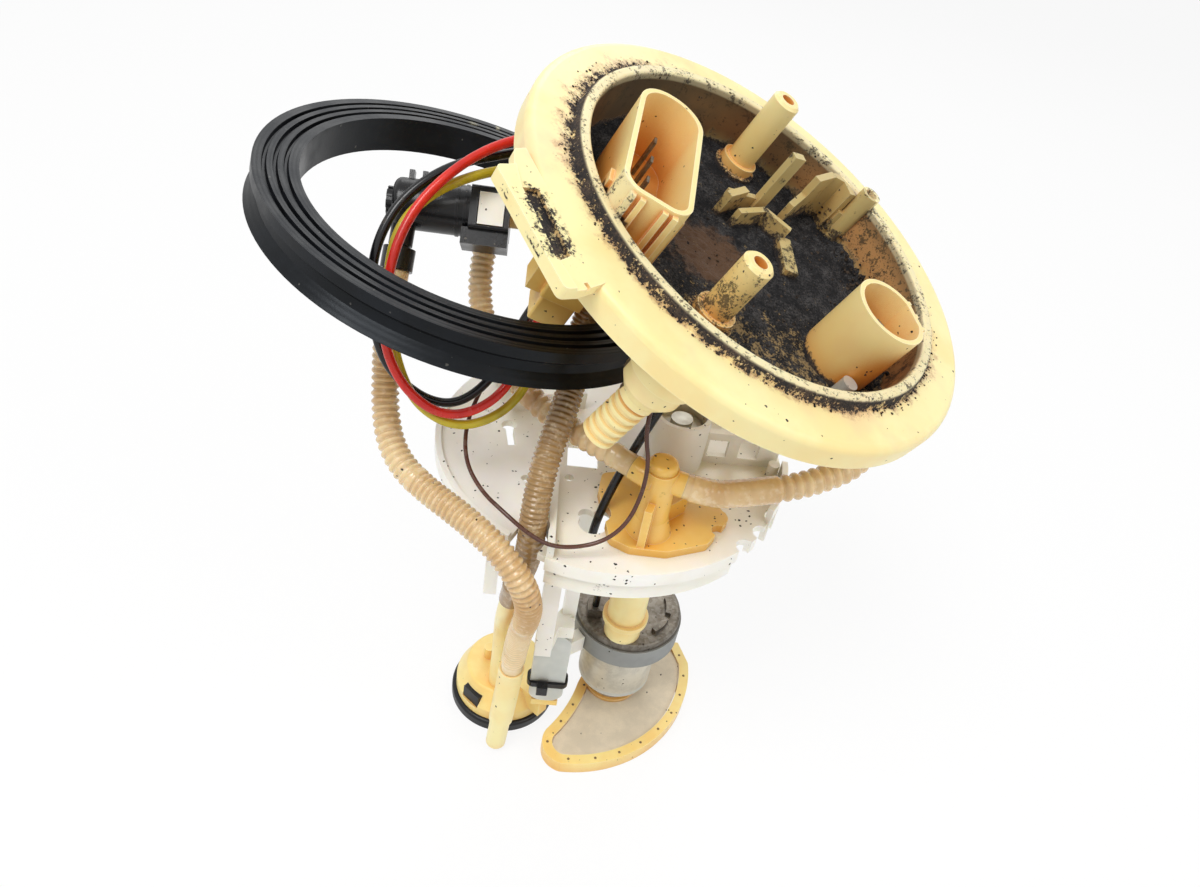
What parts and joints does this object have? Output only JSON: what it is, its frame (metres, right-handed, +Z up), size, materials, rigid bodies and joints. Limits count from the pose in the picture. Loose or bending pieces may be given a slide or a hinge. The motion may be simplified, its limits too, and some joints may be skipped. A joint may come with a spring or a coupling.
{
  "type": "fuel pump module",
  "caption": "In-tank fuel pump module: cream tank cover, loose seal ring, ribbed hoses, wires, white plate, electric pump, strainer and foot valve.",
  "frame": {"origin": "middle of the rigid pieces' footprint, on the surface that the foot ring and the strainer stand on", "axes": "+Z up along the lower unit's axis, towards the cover; +X towards the cover's low side"},
  "size_m": [0.2214, 0.1742, 0.2543],
  "materials": {
    "cream_plastic": "semi-gloss moulded",
    "white_plastic": "satin moulded",
    "amber_plastic": "semi-gloss moulded",
    "hose_plastic": "translucent corrugated",
    "black_plastic": "semi-gloss moulded",
    "black_rubber": "smooth",
    "red_wire": "extruded",
    "yellow_wire": "extruded",
    "black_wire": "extruded",
    "brown_wire": "extruded",
    "grey_metal": "dull plated",
    "steel": "ground",
    "copper": "plain",
    "magnet": "sintered",
    "grey_plastic": "satin",
    "pale_plastic": "satin",
    "mesh_fabric": "fine woven mesh"
  },
  "bodies": {
    "module": {"cover": "cream_plastic", "feed_elbow": "cream_plastic", "supply_elbow": "cream_plastic", "quick_pipe": "cream_plastic", "return_stub": "cream_plastic", "vent_stub": "cream_plastic", "main_pins": "steel", "small_pins": "steel", "inner_plug": "cream_plastic", "ground_peg": "grey_metal", "seal_ring": "black_rubber", "connector_body": "black_plastic", "connector_cap": "black_plastic", "barb_sleeve": "black_rubber", "plate": "white_plastic", "level_plug": "white_plastic", "regulator": "grey_metal", "tee": "amber_plastic", "tee_cap": "amber_plastic", "pump_cap": "grey_metal", "pump_band": "grey_plastic", "pump_case": "grey_metal", "magnet_a": "magnet", "magnet_b": "magnet", "pump_top_plate": "pale_plastic", "pump_bottom_plate": "pale_plastic", "inlet_cover": "pale_plastic", "brush_a": "magnet", "brush_b": "magnet", "outlet_pipe": "cream_plastic", "valve_spring": "steel", "leg_frame": "white_plastic", "leg_shield": "pale_plastic", "strainer_frame": "cream_plastic", "strainer_mesh": "mesh_fabric", "foot_dome": "cream_plastic", "window_plug": "black_rubber", "foot_ring": "black_rubber", "foot_grid": "white_plastic", "riser_tube": "cream_plastic", "nozzle_tube": "cream_plastic", "cable_tie": "black_plastic", "hose_jet": "hose_plastic", "hose_return": "hose_plastic", "hose_supply": "hose_plastic", "hose_feed": "hose_plastic", "wire_red": "red_wire", "wire_yellow": "yellow_wire", "wire_black": "black_wire", "wire_brown": "brown_wire", "wire_lead": "black_wire"},
    "rotor": {"rotor_shaft": "steel", "armature": "steel", "commutator": "copper", "impeller": "black_plastic"},
    "poppet": {"check_valve": "black_plastic"},
    "retainer": {"connector_retainer": "white_plastic"},
    "flap": {"foot_flap": "black_rubber"}
  },
  "joints": [
    {"name": "rotor_spin", "type": "hinge", "parent": "module", "child": "rotor", "pos_m": [0.03046, -0.01212, 0.03], "axis": [0, 0, 1], "continuous": true},
    {"name": "check_valve_lift", "type": "slide", "parent": "module", "child": "poppet", "axis": [0, 0, 1], "range_m": [0, 0.002], "stiffness_N_per_m": 120, "springref_m": -0.0006, "deforming": ["valve_spring"]},
    {"name": "retainer_press", "type": "slide", "parent": "module", "child": "retainer", "axis": [0, 0.7773, -0.6292], "range_m": [0, 0.002], "stiffness_N_per_m": 400, "springref_m": -0.0005},
    {"name": "foot_flap_lift", "type": "slide", "parent": "module", "child": "flap", "axis": [0, 0, 1], "range_m": [0, 0.0015], "stiffness_N_per_m": 40, "springref_m": -0.0003}
  ]
}
